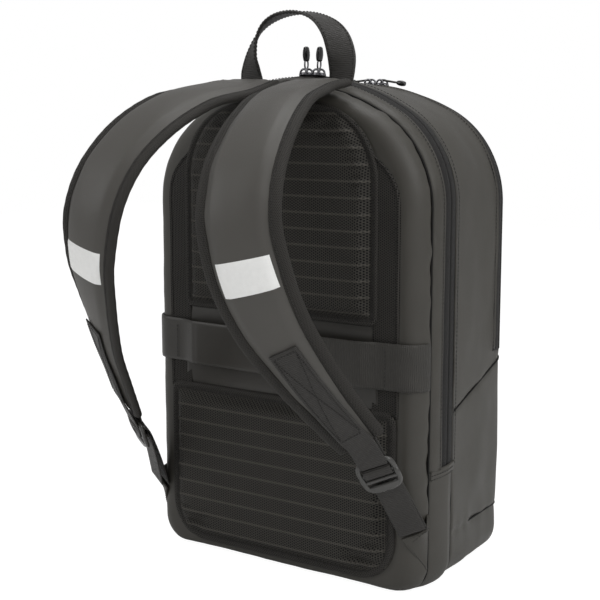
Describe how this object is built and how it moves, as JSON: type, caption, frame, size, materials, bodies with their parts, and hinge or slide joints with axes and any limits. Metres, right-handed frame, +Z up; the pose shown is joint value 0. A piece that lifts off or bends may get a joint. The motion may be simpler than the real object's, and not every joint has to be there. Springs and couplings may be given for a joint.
{
  "type": "school backpack",
  "caption": "School backpack with ribbed mesh back pads, padded adjustable shoulder straps, a trolley band, a top handle, and zipped main and front compartments that open.",
  "frame": {"origin": "centre of the flat base, midway between the back panel and the front face", "axes": "+Z up, +Y from the wearer's side to the front of the bag, +X to the right when looking along +Y"},
  "size_m": [0.3122, 0.3446, 0.5116],
  "materials": {
    "cloth": "coated woven polyester, semi-matt",
    "cloth_dark": "coated woven polyester, semi-matt",
    "mesh": "open spacer mesh",
    "webbing": "woven webbing",
    "tape": "woven zip tape with moulded teeth",
    "lining": "woven lining",
    "board": "thin stiff sheet",
    "metal": "gunmetal, glossy",
    "plastic": "moulded, semi-gloss",
    "label": "blank woven label"
  },
  "bodies": {
    "bag_back": {"back_panel": "cloth", "rear_gusset": "cloth", "lower_tub": "cloth_dark", "fold_panel": "cloth", "frame_sheet": "board", "base_board": "board", "laptop_sleeve": "lining", "upper_back_pad": "mesh", "lower_back_pad": "mesh", "channel_panel": "cloth", "left_mesh_border": "mesh", "right_mesh_border": "mesh", "trolley_band": "webbing", "main_zip_rear_tape": "tape", "left_anchor": "cloth_dark", "right_anchor": "cloth_dark", "left_webbing": "webbing", "right_webbing": "webbing"},
    "front_section": {"front_shell": "cloth", "divider": "lining", "organiser_pocket": "lining", "main_zip_front_tape": "tape", "front_zip_rear_tape": "tape"},
    "front_flap": {"front_panel": "cloth", "front_zip_front_tape": "tape"},
    "main_slide_left": {"main_slider_left": "metal"},
    "main_pull_left": {"main_puller_left": "plastic"},
    "main_slide_right": {"main_slider_right": "metal"},
    "main_pull_right": {"main_puller_right": "plastic"},
    "front_slide_left": {"front_slider_left": "metal"},
    "front_pull_left": {"front_puller_left": "plastic"},
    "front_slide_right": {"front_slider_right": "metal"},
    "front_pull_right": {"front_puller_right": "plastic"},
    "handle": {"grab_handle": "webbing"},
    "strap_left": {"strap_pad_left": "cloth", "strap_binding_left": "mesh", "strap_label_left": "label", "strap_tab_left": "webbing"},
    "lock_left": {"buckle_left": "plastic"},
    "strap_right": {"strap_pad_right": "cloth", "strap_binding_right": "mesh", "strap_label_right": "label", "strap_tab_right": "webbing"},
    "lock_right": {"buckle_right": "plastic"}
  },
  "joints": [
    {"name": "main_opening", "type": "hinge", "parent": "bag_back", "child": "front_section", "pos_m": [0, -0.049, 0.11], "axis": [-1, 0, 0], "range_deg": [0, 33], "deforming": ["fold_panel"]},
    {"name": "front_pocket_opening", "type": "hinge", "parent": "front_section", "child": "front_flap", "pos_m": [0, 0.078, 0.199], "axis": [-1, 0, 0], "range_deg": [0, 55]},
    {"name": "main_zip_left_travel", "type": "hinge", "parent": "bag_back", "child": "main_slide_left", "pos_m": [0, -0.049, 0.256], "axis": [0, -1, 0], "range_deg": [0, 26]},
    {"name": "main_pull_left_swing", "type": "hinge", "parent": "main_slide_left", "child": "main_pull_left", "pos_m": [-0.0017, -0.049, 0.46249], "axis": [0, -1, 0], "range_deg": [0, 80]},
    {"name": "main_zip_right_travel", "type": "hinge", "parent": "bag_back", "child": "main_slide_right", "pos_m": [0, -0.049, 0.256], "axis": [0, 1, 0], "range_deg": [0, 24]},
    {"name": "main_pull_right_swing", "type": "hinge", "parent": "main_slide_right", "child": "main_pull_right", "pos_m": [0.01203, -0.049, 0.46215], "axis": [0, 1, 0], "range_deg": [0, 80]},
    {"name": "front_zip_left_travel", "type": "hinge", "parent": "front_section", "child": "front_slide_left", "pos_m": [0, 0.062, 0.24715], "axis": [0, -1, 0], "range_deg": [0, 24]},
    {"name": "front_pull_left_swing", "type": "hinge", "parent": "front_slide_left", "child": "front_pull_left", "pos_m": [-0.00171, 0.062, 0.45419], "axis": [0, 1, 0], "range_deg": [0, 100]},
    {"name": "front_zip_right_travel", "type": "hinge", "parent": "front_section", "child": "front_slide_right", "pos_m": [0, 0.062, 0.24715], "axis": [0, 1, 0], "range_deg": [0, 22]},
    {"name": "front_pull_right_swing", "type": "hinge", "parent": "front_slide_right", "child": "front_pull_right", "pos_m": [0.01206, 0.062, 0.45384], "axis": [0, -1, 0], "range_deg": [0, 100]},
    {"name": "handle_fold", "type": "hinge", "parent": "bag_back", "child": "handle", "pos_m": [0, -0.069, 0.4504], "axis": [1, 0, 0], "range_deg": [-35, 55], "stiffness_Nm_per_rad": 0.06},
    {"name": "strap_left_adjust", "type": "hinge", "parent": "bag_back", "child": "strap_left", "pos_m": [0, -0.08939, 0.44751], "axis": [1, 0, 0], "range_deg": [-10, 5], "deforming": ["left_webbing"]},
    {"name": "lock_left_tilt", "type": "hinge", "parent": "strap_left", "child": "lock_left", "pos_m": [-0.13181, -0.14609, 0.13546], "axis": [-0.863, 0.3427, 0.3713], "range_deg": [0, 30]},
    {"name": "strap_right_adjust", "type": "hinge", "parent": "bag_back", "child": "strap_right", "pos_m": [0, -0.08939, 0.44751], "axis": [1, 0, 0], "range_deg": [-10, 5], "deforming": ["right_webbing"]},
    {"name": "lock_right_tilt", "type": "hinge", "parent": "strap_right", "child": "lock_right", "pos_m": [0.13181, -0.14609, 0.13546], "axis": [-0.863, -0.3427, -0.3713], "range_deg": [0, 30]}
  ]
}
